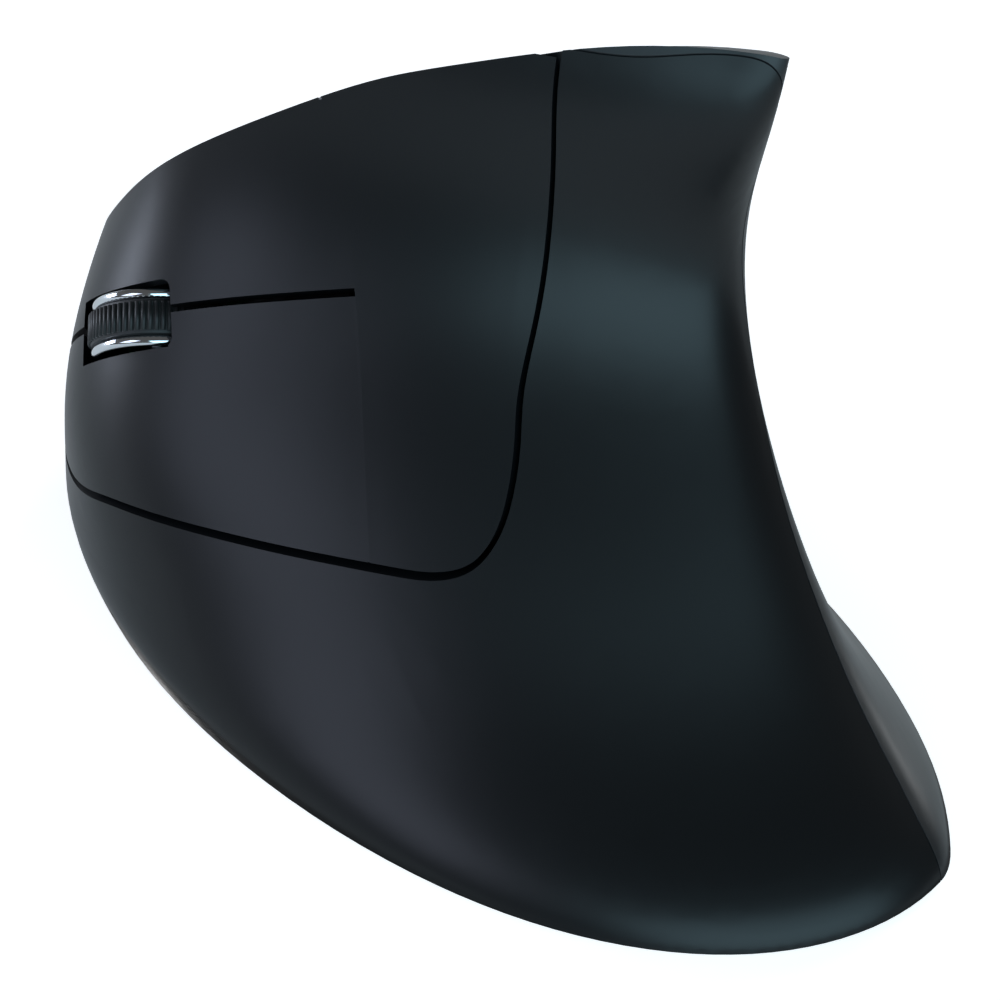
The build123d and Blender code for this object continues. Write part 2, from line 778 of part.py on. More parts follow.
def receiver_nodes():
    """Receiver with its plug shell and its cap, stowed in the bay."""
    middle = bay_floor + cap_height / 2 - receiver_gap
    half = plug_width / 2
    front = receiver_back - plug_length
    low = middle - plug_height / 2
    high = middle + plug_height / 2
    plug = block(Plane.XY, (receiver_across - half, front, low), (receiver_across + half, receiver_back, high))
    inner_half = half - plug_wall
    plug -= block(
        Plane.XY,
        (receiver_across - inner_half, front - overrun, low + plug_height / 2),
        (receiver_across + inner_half, receiver_back - plug_wall, high - plug_wall),
    )
    cap_half = cap_width / 2
    cap = block(
        Plane.XY,
        (receiver_across - cap_half, receiver_back, middle - cap_height / 2),
        (receiver_across + cap_half, receiver_back + cap_length, middle + cap_height / 2),
    )
    cap = fillet(cap.edges().filter_by(Axis.Y), cap_corner)
    return {"receiver_plug": plug, "receiver_cap": cap}


def sensor_nodes():
    """Optical sensor, its clear lens and its light."""
    x, y = sensor_place
    half_w = sensor_width / 2
    half_l = sensor_length / 2
    chip_top = main_board_top + sensor_height
    chip = block(Plane.XY, (x - half_w, y - half_l, main_board_top), (x + half_w, y + half_l, chip_top))
    lens = rod(Plane.XY, x, y, lens_radius, lens_recess, base_top)
    half_block = lens_block / 2
    block_low = (x - half_block, y - half_block, base_top)
    lens += block(Plane.XY, block_low, (x + half_block, y + half_block, main_board_low))
    light_axis = main_board_top + led_radius
    light_end = y - led_reach + led_length
    light = rod(Plane.XZ, x, light_axis, led_radius, -light_end, led_reach - y)
    return {"sensor_chip": chip, "sensor_lens": lens, "sensor_led": light}


def power_nodes():
    """Power switch under the main board and the slider that works it from below."""
    x, y = power_place
    half_l = power_length / 2
    half_w = power_width / 2
    low = base_top + power_gap
    body = block(Plane.XY, (x - half_l, y - half_w, low), (x + half_l, y + half_w, main_board_low))
    stem_half = power_stem / 2
    slot_reach = (power_stem + power_travel) / 2 + power_gap
    slot_side = stem_half + power_gap / 2
    slot_top = low + power_width / 2
    slot_low = (x - slot_reach, y - slot_side, low - overrun)
    body -= block(Plane.XY, slot_low, (x + slot_reach, y + slot_side, slot_top))
    start = x - power_travel / 2
    knob_half = power_knob / 2
    knob_top = power_recess - power_gap
    knob_low = (start - knob_half, y - knob_half, 0)
    knob = block(Plane.XY, knob_low, (start + knob_half, y + knob_half, knob_top))
    stem_top = slot_top - power_gap
    stem_low = (start - stem_half, y - stem_half, knob_top)
    stem = block(Plane.XY, stem_low, (start + stem_half, y + stem_half, stem_top))
    return {"power_switch": body, "power_slider": knob + stem}


def screw(plane, across, along, seat, radius, length, head_radius, head_height):
    """Round-headed screw with its head outside a seat, pointing along minus the plane's normal."""
    shank = rod(plane, across, along, radius, seat - length, seat)
    return shank + rod(plane, across, along, head_radius, seat, seat + head_height)


def fastener_nodes():
    """Base screws driven from below, as one group of separate solids."""
    below = Plane(origin=(0, 0, 0), x_dir=(1, 0, 0), z_dir=(0, 0, -1))
    screws = []
    for across, along in screw_places:
        seat = -screw_head_height - screw_clearance
        size = (screw_radius, screw_length, screw_head_radius, screw_head_height)
        screws.append(screw(below, across, -along, seat, *size))
    return {"base_screws": Compound(screws)}


def glide_feet():
    """Low pads under the base plate."""
    feet = []
    for across, along, turn in foot_places:
        sketch = Pos(across, along, -foot_height) * Rot(0, 0, turn) * SlotOverall(foot_length, foot_width)
        feet.append(extrude(sketch, foot_height, dir=(0, 0, 1)).solids()[0])
    return Compound(feet)


def build():
    """All nodes by name."""
    outer = body_form(0)
    lined = body_form(shell_wall)
    room = body_form(shell_wall + base_gap)
    raised = body_form(-button_raise)
    region = palm_region(0)
    grown_region = palm_region(-seam_gap)
    cover_region = palm_region(cover_ridge_gap)
    nodes = {}
    nodes.update(shell_nodes(outer, lined, region, grown_region))
    nodes.update(cover_nodes(outer, cover_region))
    nodes.update(button_nodes(raised))
    nodes["base_plate"] = base_plate(room)
    nodes.update(wheel_nodes())
    nodes.update(board_nodes(room))
    nodes.update(switch_nodes())
    nodes.update(battery_nodes(room))
    nodes.update(receiver_nodes())
    nodes.update(sensor_nodes())
    nodes.update(power_nodes())
    nodes.update(fastener_nodes())
    nodes["glide_feet"] = glide_feet()
    return nodes


os.makedirs("parts", exist_ok=True)
shift = Location((centre_shares[0] * body_width, centre_shares[1] * body_length, foot_height))
for name, shape in build().items():
    export_step(shape.moved(shift), f"parts/{name}.step")
    print(name, len(shape.solids()), round(shape.volume, 1))
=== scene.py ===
"""Looks of a left-handed vertical mouse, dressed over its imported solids."""

import json
import logging
import math
from dataclasses import dataclass
from enum import Enum

import bmesh
import bpy
from mathutils import Matrix, Vector


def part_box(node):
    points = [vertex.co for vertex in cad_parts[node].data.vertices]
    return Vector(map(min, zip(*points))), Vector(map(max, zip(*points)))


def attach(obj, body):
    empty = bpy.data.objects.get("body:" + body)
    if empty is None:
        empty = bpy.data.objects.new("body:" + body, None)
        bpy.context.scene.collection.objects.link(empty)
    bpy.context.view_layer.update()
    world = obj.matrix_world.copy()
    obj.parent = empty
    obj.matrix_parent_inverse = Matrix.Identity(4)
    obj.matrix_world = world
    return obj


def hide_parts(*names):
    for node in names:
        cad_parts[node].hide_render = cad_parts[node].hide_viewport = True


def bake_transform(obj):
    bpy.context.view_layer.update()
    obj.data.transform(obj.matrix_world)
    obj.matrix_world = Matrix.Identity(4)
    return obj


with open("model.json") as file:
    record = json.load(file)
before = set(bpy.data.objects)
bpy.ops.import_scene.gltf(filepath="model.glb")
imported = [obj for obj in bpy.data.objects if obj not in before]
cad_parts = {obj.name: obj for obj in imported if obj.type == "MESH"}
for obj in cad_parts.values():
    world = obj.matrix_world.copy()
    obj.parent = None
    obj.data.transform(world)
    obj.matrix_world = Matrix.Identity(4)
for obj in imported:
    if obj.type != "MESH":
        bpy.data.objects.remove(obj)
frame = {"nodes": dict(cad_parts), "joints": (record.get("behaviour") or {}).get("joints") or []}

MM = 0.001
WHITE = "#ffffff"
FULL_TURN = 2 * math.pi
MERGE_DISTANCE = 1e-7
TINY_EDGE = 1e-8
TINY_SPAN = 1e-9

log = logging.getLogger("vertical_mouse")


def linear(code: str) -> tuple[float, float, float, float]:
    """Turns an sRGB hex value into a linear colour.

    Args:
        code: Six hex digits after a hash sign.

    Returns:
        Linear red, green and blue, and a full alpha.
    """
    parts = [int(code[i:i + 2], 16) / 255 for i in (1, 3, 5)]
    made = [p / 12.92 if p <= 0.04045 else ((p + 0.055) / 1.055) ** 2.4 for p in parts]
    return (*made, 1.0)


def add(tree: bpy.types.NodeTree, kind: str, inputs: dict | None = None, **settings: object) -> bpy.types.Node:
    """Adds a node with its settings and links.

    Args:
        tree: The material or geometry tree that takes the node.
        kind: Blender's name for the node type.
        inputs: Value or source socket for each input, by name or number.
        settings: Properties of the node itself.

    Returns:
        The new node.
    """
    made = tree.nodes.new(kind)
    for name, value in settings.items():
        setattr(made, name, value)
    for name, value in (inputs or {}).items():
        socket = made.inputs[name]
        if isinstance(value, bpy.types.NodeSocket):
            tree.links.new(value, socket)
        else:
            socket.default_value = value
    return made


def empty_material(name: str) -> tuple[bpy.types.Material, bpy.types.NodeTree]:
    """Starts a material whose tree is empty.

    Args:
        name: Name of the material.

    Returns:
        The material and its tree.
    """
    made = bpy.data.materials.new(name)
    made.use_nodes = True
    made.node_tree.nodes.clear()
    return made, made.node_tree


class Side(Enum):
    """Which end of the wheel a piece is on, along the axle."""

    UPPER = -1
    LOWER = 1


@dataclass(frozen=True)
class MouldedFinish:
    """Opaque plastic, rubber or paint with a fine grain, and a broad drift from handling."""

    name: str
    colour: str
    drift_colour: str
    roughness: float
    roughness_drift: float
    grain_mm: float
    grain_depth_mm: float
    drift_mm: float = 18.0
    specular: float = 0.5
    sheen: float = 0.0
    drift_detail: float = 3.0
    grain_detail: float = 2.0

    def make(self) -> bpy.types.Material:
        """Builds the material.

        Returns:
            The finished material.
        """
        made, tree = empty_material(self.name)
        place = add(tree, "ShaderNodeTexCoord").outputs["Object"]
        drift = add(tree, "ShaderNodeTexNoise", {
            "Vector": place, "Scale": 1 / (self.drift_mm * MM), "Detail": self.drift_detail,
        }).outputs["Fac"]
        grain = add(tree, "ShaderNodeTexNoise", {
            "Vector": place, "Scale": 1 / (self.grain_mm * MM), "Detail": self.grain_detail,
        }).outputs["Fac"]
        mixed = add(tree, "ShaderNodeMix", {
            0: drift, 6: linear(self.colour), 7: linear(self.drift_colour),
        }, data_type="RGBA")
        low, high = self.roughness - self.roughness_drift, self.roughness + self.roughness_drift
        rough = add(tree, "ShaderNodeMapRange", {"Value": drift, "To Min": low, "To Max": high})
        bump = add(tree, "ShaderNodeBump", {
            "Height": grain, "Strength": 1.0, "Distance": self.grain_depth_mm * MM,
        })
        shader = add(tree, "ShaderNodeBsdfPrincipled", {
            "Base Color": mixed.outputs[2], "Roughness": rough.outputs[0], "Normal": bump.outputs[0],
            "Specular IOR Level": self.specular, "Sheen Weight": self.sheen,
        })
        add(tree, "ShaderNodeOutputMaterial", {"Surface": shader.outputs[0]})
        return made


@dataclass(frozen=True)
class TurnedMetalFinish:
    """Bright metal with fine marks, from plating or from drawing the wire."""

    name: str
    colour: str
    roughness: float
    mark_mm: float
    mark_depth_mm: float
    smoothest_share: float = 0.7
    roughest_share: float = 1.4
    mark_detail: float = 4.0

    def make(self) -> bpy.types.Material:
        """Builds the material.

        Returns:
            The finished material.
        """
        made, tree = empty_material(self.name)
        place = add(tree, "ShaderNodeTexCoord").outputs["Object"]
        marks = add(tree, "ShaderNodeTexNoise", {
            "Vector": place, "Scale": 1 / (self.mark_mm * MM), "Detail": self.mark_detail,
        }).outputs["Fac"]
        low, high = self.roughness * self.smoothest_share, self.roughness * self.roughest_share
        rough = add(tree, "ShaderNodeMapRange", {"Value": marks, "To Min": low, "To Max": high})
        bump = add(tree, "ShaderNodeBump", {
            "Height": marks, "Strength": 1.0, "Distance": self.mark_depth_mm * MM,
        })
        shader = add(tree, "ShaderNodeBsdfPrincipled", {
            "Base Color": linear(self.colour), "Metallic": 1.0, "Roughness": rough.outputs[0],
            "Normal": bump.outputs[0],
        })
        add(tree, "ShaderNodeOutputMaterial", {"Surface": shader.outputs[0]})
        return made


@dataclass(frozen=True)
class LaminateFinish:
    """Glass-epoxy circuit board: solder mask over copper lines that show as paler tracks."""

    name: str = "glass_epoxy_solder_mask"
    mask: str = "#0f4a2c"
    track: str = "#1c6b40"
    track_mm: float = 2.0
    track_edge: tuple[float, float] = (0.04, 0.08)
    track_height_mm: float = 0.03
    roughness: float = 0.28

    def make(self) -> bpy.types.Material:
        """Builds the material.

        Returns:
            The finished material.
        """
        made, tree = empty_material(self.name)
        place = add(tree, "ShaderNodeTexCoord").outputs["Object"]
        cells = add(tree, "ShaderNodeTexVoronoi", {
            "Vector": place, "Scale": 1 / (self.track_mm * MM),
        }, feature="DISTANCE_TO_EDGE")
        near, far = self.track_edge
        edge = add(tree, "ShaderNodeMapRange", {
            "Value": cells.outputs["Distance"], "From Min": near, "From Max": far,
        }).outputs[0]
        mixed = add(tree, "ShaderNodeMix", {
            0: edge, 6: linear(self.track), 7: linear(self.mask),
        }, data_type="RGBA")
        bump = add(tree, "ShaderNodeBump", {
            "Height": edge, "Strength": 1.0, "Distance": self.track_height_mm * MM,
        }, invert=True)
        shader = add(tree, "ShaderNodeBsdfPrincipled", {
            "Base Color": mixed.outputs[2], "Roughness": self.roughness, "Normal": bump.outputs[0],
        })
        add(tree, "ShaderNodeOutputMaterial", {"Surface": shader.outputs[0]})
        return made


@dataclass(frozen=True)
class ClearFinish:
    """Clear moulded acrylic, polished in the tool, with a faint unevenness."""

    name: str = "clear_moulded_acrylic"
    tint: str = "#eef6f8"
    wave_mm: float = 3.0
    wave_depth_mm: float = 0.02
    roughness: float = 0.05
    refraction: float = 1.49

    def make(self) -> bpy.types.Material:
        """Builds the material.

        Returns:
            The finished material.
        """
        made, tree = empty_material(self.name)
        place = add(tree, "ShaderNodeTexCoord").outputs["Object"]
        wave = add(tree, "ShaderNodeTexNoise", {"Vector": place, "Scale": 1 / (self.wave_mm * MM)})
        bump = add(tree, "ShaderNodeBump", {
            "Height": wave.outputs["Fac"], "Strength": 1.0, "Distance": self.wave_depth_mm * MM,
        })
        shader = add(tree, "ShaderNodeBsdfPrincipled", {
            "Base Color": linear(self.tint), "Transmission Weight": 1.0, "Roughness": self.roughness,
            "IOR": self.refraction, "Normal": bump.outputs[0],
        })
        add(tree, "ShaderNodeOutputMaterial", {"Surface": shader.outputs[0]})
        return made


@dataclass(frozen=True)
class SleeveFinish:
    """Shrunk plastic sleeve of a dry cell.

    A dark body and a coppery band at the nub end, split along the cell.
    """

    name: str = "shrunk_cell_sleeve"
    dark: str = "#17181c"
    band: str = "#a86a3a"
    split_y: float = 0.0235
    split_mm: float = 0.2
    wrinkle_mm: float = 1.5
    wrinkle_depth_mm: float = 0.02
    roughness: float = 0.22

    def make(self) -> bpy.types.Material:
        """Builds the material.

        Returns:
            The finished material.
        """
        made, tree = empty_material(self.name)
        place = add(tree, "ShaderNodeTexCoord").outputs["Object"]
        parts = add(tree, "ShaderNodeSeparateXYZ", {0: place})
        step = add(tree, "ShaderNodeMapRange", {
            "Value": parts.outputs["Y"],
            "From Min": self.split_y, "From Max": self.split_y + self.split_mm * MM,
        })
        mixed = add(tree, "ShaderNodeMix", {
            0: step.outputs[0], 6: linear(self.dark), 7: linear(self.band),
        }, data_type="RGBA")
        wrinkle = add(tree, "ShaderNodeTexNoise", {"Vector": place, "Scale": 1 / (self.wrinkle_mm * MM)})
        bump = add(tree, "ShaderNodeBump", {
            "Height": wrinkle.outputs["Fac"], "Strength": 1.0, "Distance": self.wrinkle_depth_mm * MM,
        })
        shader = add(tree, "ShaderNodeBsdfPrincipled", {
            "Base Color": mixed.outputs[2], "Roughness": self.roughness, "Normal": bump.outputs[0],
        })
        add(tree, "ShaderNodeOutputMaterial", {"Surface": shader.outputs[0]})
        return made


class Finishes:
    """All materials of the mouse, each made once."""

    def __init__(self) -> None:
        """Makes the materials, named for the real finishes."""
        # Soft-touch paint: a velvety black film that spreads a lamp into a wide cool glow.
        # Its real grain is about 0.05 mm and is drawn at 0.22 mm so that it shows.
        self.soft_touch = MouldedFinish(
            "soft_touch_paint_on_abs", "#06070a", "#080a0c", 0.35, 0.02, 0.22, 0.0014, 30.0, specular=0.34,
        ).make()
        # The same paint on the thumb side, a shade greyer where it wears.
        self.thumb_paint = MouldedFinish(
            "soft_touch_paint_thumb_side", "#0f1114", "#131518", 0.42, 0.03, 0.22, 0.0014, 26.0,
        ).make()
        # Spark-eroded ABS of the underside: a coarse dry grain that kills gloss.
        self.grained = MouldedFinish("spark_eroded_abs", "#131416", "#17181a", 0.62, 0.04, 0.35, 0.012).make()
        # Satin ABS of the thumb buttons, polished by use.
        self.satin = MouldedFinish("satin_moulded_abs", "#1d2023", "#22262a", 0.36, 0.05, 0.3, 0.0015).make()
        self.rubber = MouldedFinish(
            "moulded_rubber_tread", "#0c0d0e", "#131415", 0.52, 0.06, 0.12, 0.006, 2.5, sheen=0.05,
        ).make()
        # Bright nickel-chrome plating over plastic: mirror-like, with faint flow marks.
        self.plated = TurnedMetalFinish("nickel_chrome_plating", "#d7dadd", 0.09, 0.8, 0.0008).make()
        self.steel = TurnedMetalFinish("zinc_plated_steel", "#a3a5a6", 0.30, 0.25, 0.002).make()
        self.red = MouldedFinish("glossy_red_abs", "#8f1a14", "#a02118", 0.24, 0.03, 0.4, 0.001).make()
        self.board = LaminateFinish().make()
        self.nylon = MouldedFinish("moulded_black_nylon", "#121314", "#18191a", 0.40, 0.05, 0.25, 0.003).make()
        self.acetal = MouldedFinish("moulded_acetal", "#d3d0c2", "#dad7ca", 0.34, 0.04, 0.3, 0.001).make()
        self.sleeve = SleeveFinish().make()
        self.clear = ClearFinish().make()
        self.epoxy = MouldedFinish("tinted_led_epoxy", "#a3201c", "#b02a22", 0.12, 0.02, 0.5, 0.0004).make()
        self.glide = MouldedFinish("skived_ptfe", "#1b1c1d", "#242526", 0.30, 0.05, 0.4, 0.002).make()


def linked(name: str, data: bpy.types.ID) -> bpy.types.Object:
    """Makes an object and links it to the scene.

    Args:
        name: Name of the object.
        data: Its mesh, lamp or camera.

    Returns:
        The new object.
    """
    made = bpy.data.objects.new(name, data)
    bpy.context.scene.collection.objects.link(made)
    return made


def mesh_object(
    name: str, bm: bmesh.types.BMesh, material: bpy.types.Material, smooth_angle: float = 35.0,
) -> bpy.types.Object:
    """Turns a bmesh into a piece at the origin, smooth except at sharp edges.

    Args:
        name: Name of the piece.
        bm: The mesh data, which is freed.
        material: The one finish of the piece.
        smooth_angle: Edges that turn by more than this many degrees stay sharp.

    Returns:
        The new object.
    """
    bmesh.ops.remove_doubles(bm, verts=bm.verts, dist=MERGE_DISTANCE)
    bmesh.ops.recalc_face_normals(bm, faces=bm.faces)
    for face in bm.faces:
        face.smooth = True
    for edge in bm.edges:
        if len(edge.link_faces) == 2 and edge.calc_face_angle(0.0) > math.radians(smooth_angle):
            edge.smooth = False
    mesh = bpy.data.meshes.new(name)
    bm.to_mesh(mesh)
    bm.free()
    mesh.materials.append(material)
    return linked(name, mesh)


def lathe(profile: list[tuple[float, float]], steps: int, place: Matrix) -> bmesh.types.BMesh:
    """Turns a closed profile round the Z axis and puts it in place.

    Args:
        profile: Radius and height of each corner in millimetres, in order round the section.
        steps: Number of steps in the full turn.
        place: Where the turned form goes, in metres.

    Returns:
        The turned form as a bmesh.
    """
    bm = bmesh.new()
    rings = []
    for step in range(steps):
        turn = FULL_TURN * step / steps
        rings.append([
            bm.verts.new((r * MM * math.cos(turn), r * MM * math.sin(turn), z * MM)) for r, z in profile
        ])
    count = len(profile)
    for step, ring in enumerate(rings):
        following = rings[(step + 1) % steps]
        for i in range(count):
            j = (i + 1) % count
            bm.faces.new([ring[i], following[i], following[j], ring[j]])
    bmesh.ops.transform(bm, matrix=place, verts=bm.verts)
    bmesh.ops.remove_doubles(bm, verts=bm.verts, dist=MERGE_DISTANCE)
    bmesh.ops.dissolve_degenerate(bm, dist=TINY_EDGE, edges=bm.edges)
    return bm


def baked(
    source: bpy.types.Object, tree: bpy.types.NodeTree, values: dict[str, object], name: str, place: Matrix,
) -> bpy.types.Object:
    """Runs a geometry tree on an object and keeps the result as a plain mesh in place.

    Args:
        source: Object whose mesh the tree reads; it is removed afterwards.
        tree: The geometry tree.
        values: Value of each named input of the tree.
        name: Name of the finished piece.
        place: Where the result goes, in metres.

    Returns:
        The finished piece, with no modifier.
    """
    modifier = source.modifiers.new("nodes", "NODES")
    modifier.node_group = tree
    for item in tree.interface.items_tree:
        if item.item_type == "SOCKET" and item.in_out == "INPUT" and item.name in values:
            modifier[item.identifier] = values[item.name]
    evaluated = source.evaluated_get(bpy.context.evaluated_depsgraph_get())
    mesh = bpy.data.meshes.new_from_object(evaluated)
    bpy.data.objects.remove(source)
    mesh.transform(place)
    mesh.name = name
    return linked(name, mesh)


def new_tree(
    name: str, inputs: dict[str, tuple[str, float]],
) -> tuple[bpy.types.NodeTree, bpy.types.Node, bpy.types.Node]:
    """Starts a geometry tree with named inputs.

    Args:
        name: Name of the tree.
        inputs: Socket type and first value of each input, by name.

    Returns:
        The tree, its input node and its output node.
    """
    tree = bpy.data.node_groups.new(name, "GeometryNodeTree")
    tree.interface.new_socket("Geometry", in_out="INPUT", socket_type="NodeSocketGeometry")
    for label, (kind, value) in inputs.items():
        socket = tree.interface.new_socket(label, in_out="INPUT", socket_type=kind)
        socket.default_value = value
    tree.interface.new_socket("Geometry", in_out="OUTPUT", socket_type="NodeSocketGeometry")
    return tree, add(tree, "NodeGroupInput"), add(tree, "NodeGroupOutput")


class FingerFrame:
    """Directions of the finger face, read from the joints.

    u runs down the slot, v along the axle and w out of the face.
    """

    def __init__(self) -> None:
        """Reads the axle, the press direction and the flex line."""
        joints = {joint["name"]: joint for joint in frame["joints"]}
        spin, press, key = joints["wheel_spin"], joints["wheel_press"], joints["upper_key_press"]
        self.centre = Vector(spin["pos_m"])
        self.v = Vector(spin["axis"]).normalized()
        self.w = -Vector(press["axis"]).normalized()
        self.u = self.v.cross(self.w)
        self.flex = Vector(key["pos_m"])

    def axle_place(self, along_mm: float = 0.0) -> Matrix:
        """Place whose Z axis is the axle, moved along it from the wheel's centre."""
        turned = Matrix((self.w, self.u, self.v)).transposed()
        return Matrix.Translation(self.centre + self.v * along_mm * MM) @ turned.to_4x4()

    def along(self, point: Vector) -> float:
        """Distance of a point along the axle, in metres from the place of the upper key's joint."""
        return (point - self.flex).dot(self.v)


@dataclass
class Shells:
    """Finishes of the CAD solids, with eased edges on the small outer ones."""

    edge_mm: float = 0.22
    edge_steps: int = 2
    sharp_angle: float = 50.0
    weld_distance: float = 2e-6

    def ease(self, name: str) -> None:
        """Rounds the sharp edges of a moulded solid.

        Args:
            name: The CAD node.
        """
        node = frame["nodes"][name]
        weld = node.modifiers.new("weld", "WELD")
        weld.merge_threshold = self.weld_distance
        bevel = node.modifiers.new("edge", "BEVEL")
        bevel.width = self.edge_mm * MM
        bevel.segments = self.edge_steps
        bevel.limit_method = "ANGLE"
        bevel.angle_limit = math.radians(self.sharp_angle)
        bevel.harden_normals = True

    def dress(self, finishes: Finishes) -> None:
        """Gives the solids their finishes.

        Args:
            finishes: All materials.
        """
        table = {
            "palm_shell": finishes.soft_touch, "thumb_shell": finishes.thumb_paint,
            "key_bridge": finishes.soft_touch, "upper_key": finishes.soft_touch,
            "lower_key": finishes.soft_touch, "base_plate": finishes.grained,
            "battery_door": finishes.grained, "battery_cradle": finishes.grained,
            "forward_button": finishes.satin, "back_button": finishes.satin, "dpi_button": finishes.satin,
            "wheel_carrier": finishes.nylon, "wheel_hub": finishes.nylon, "wheel_encoder": finishes.nylon,
            "wheel_axle": finishes.steel, "contact_springs": finishes.steel,
            "contact_plates": finishes.steel, "receiver_plug": finishes.steel,
            "receiver_cap": finishes.satin, "power_slider": finishes.red, "power_switch": finishes.nylon,
            "switch_board": finishes.board, "side_board": finishes.board, "main_board": finishes.board,
            "sensor_chip": finishes.nylon, "sensor_lens": finishes.clear, "sensor_led": finishes.epoxy,
            "glide_feet": finishes.glide, "inner_cell": finishes.sleeve, "outer_cell": finishes.sleeve,
        }
        for name, node in frame["nodes"].items():
            if name.endswith("_switch") and name not in table:
                table[name] = finishes.nylon
            if name.endswith("_plunger"):
                table[name] = finishes.acetal
            if name in table:
                node.data.materials.clear()
                node.data.materials.append(table[name])
        for name in (
            "receiver_cap", "power_slider", "glide_feet", "forward_button", "back_button", "dpi_button",
        ):
            self.ease(name)
        log.info("shells and small solids dressed: %d", len(table))


@dataclass
class FlexStrips:
    """Thin skins that carry the cover's surface over the line where each key flexes."""

    half_gap_mm: float = 0.2
    samples: int = 70
    depth_mm: float = 0.5
    overlap_mm: float = 0.02
    slot_mm: float = -0.4
    plane_slack_mm: float = 0.01
    sample_pitch_mm: float = 0.4
    inner_drop_mm: float = 0.25

    def edge_line(self, name: str, offset_mm: float, way: FingerFrame) -> list[Vector]:
        """Finds the outer edge of a solid where the flex line cuts it.

        Args:
            name: The CAD node.
            offset_mm: Signed distance of the cut plane from the flex line.
            way: The finger frame.

        Returns:
            Points of the outer edge, in order along the axle.
        """
        found: dict[int, Vector] = {}
        for vertex in frame["nodes"][name].data.vertices:
            spot = vertex.co - way.flex
            if abs(spot.dot(way.u) / MM - offset_mm) < self.plane_slack_mm:
                key = round(spot.dot(way.v) / MM / self.sample_pitch_mm)
                if key not in found or spot.dot(way.w) > (found[key] - way.flex).dot(way.w):
                    found[key] = vertex.co.copy()
        return self.outer_only(sorted(found.values(), key=way.along), way)

    def outer_only(self, points: list[Vector], way: FingerFrame) -> list[Vector]:
        """Drops points of the inner wall, which lie under the line of their neighbours.

        Args:
            points: Points in order along the axle.
            way: The finger frame.

        Returns:
            The points of the outer edge alone.
        """
        kept = list(points)
        changed = True
        while changed:
            changed = False
            for i in range(1, len(kept) - 1):
                a, b, c = kept[i - 1], kept[i], kept[i + 1]
                share = (b - a).dot(way.v) / max((c - a).dot(way.v), TINY_SPAN)
                if (b - a.lerp(c, share)).dot(way.w) < -self.inner_drop_mm * MM:
                    kept.pop(i)
                    changed = True
                    break
        return kept

    def at(self, points: list[Vector], value: float, way: FingerFrame) -> Vector:
        """Finds the point of an edge line at a distance along the axle.

        Args:
            points: Points of the edge line, in order along the axle.
            value: Distance along the axle in metres.
            way: The finger frame.

        Returns:
            The point, or the nearer end where the line doesn't reach.
        """
        for a, b in zip(points, points[1:]):
            low, high = way.along(a), way.along(b)
            if low <= value <= high:
                return a.lerp(b, (value - low) / max(high - low, TINY_SPAN))
        first, last = way.along(points[0]), way.along(points[-1])
        return points[0] if abs(value - first) < abs(value - last) else points[-1]

    def reach(
        self, lines: tuple[list[Vector], list[Vector]], side: Side, way: FingerFrame,
    ) -> tuple[float, float]:
        """Finds how far along the axle a strip runs.

        Args:
            lines: Edge lines of the key and the bridge.
            side: Which side of the slot the key is on.
            way: The finger frame.

        Returns:
            Lowest and highest distance along the axle in metres.
        """
        low = max(way.along(line[0]) for line in lines)
        high = min(way.along(line[-1]) for line in lines)
        slot = self.slot_mm * MM
        return (low, min(high, slot)) if side is Side.UPPER else (max(low, slot), high)

    def make(self, key: str, side: Side, way: FingerFrame, material: bpy.types.Material) -> bpy.types.Object:
        """Builds the strip of one key.

        Args:
            key: The key's CAD node.
            side: Which side of the slot the key is on.
            way: The finger frame.
            material: Finish of the cover.

        Returns:
            The strip.
        """
        near = self.edge_line(key, self.half_gap_mm, way)
        rear = self.edge_line("key_bridge", -self.half_gap_mm, way)
        low, high = self.reach((near, rear), side, way)
        down, overlap = way.w * self.depth_mm * MM, way.u * self.overlap_mm * MM
        bm = bmesh.new()
        rows = []
        for i in range(self.samples + 1):
            value = low + (high - low) * i / self.samples
            back, front = self.at(rear, value, way) - overlap, self.at(near, value, way) + overlap
            rows.append([bm.verts.new(p) for p in (back, front, front - down, back - down)])
        for a, b in zip(rows, rows[1:]):
            for i in range(4):
                j = (i + 1) % 4
                bm.faces.new((a[i], b[i], b[j], a[j]))
        bm.faces.new(rows[0])
        bm.faces.new(list(reversed(rows[-1])))
        made = mesh_object(f"{key}_flex_skin", bm, material)
        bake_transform(made)
        log.info("flex skin of %s: %d steps from %.2f to %.2f mm", key, self.samples, low / MM, high / MM)
        return made


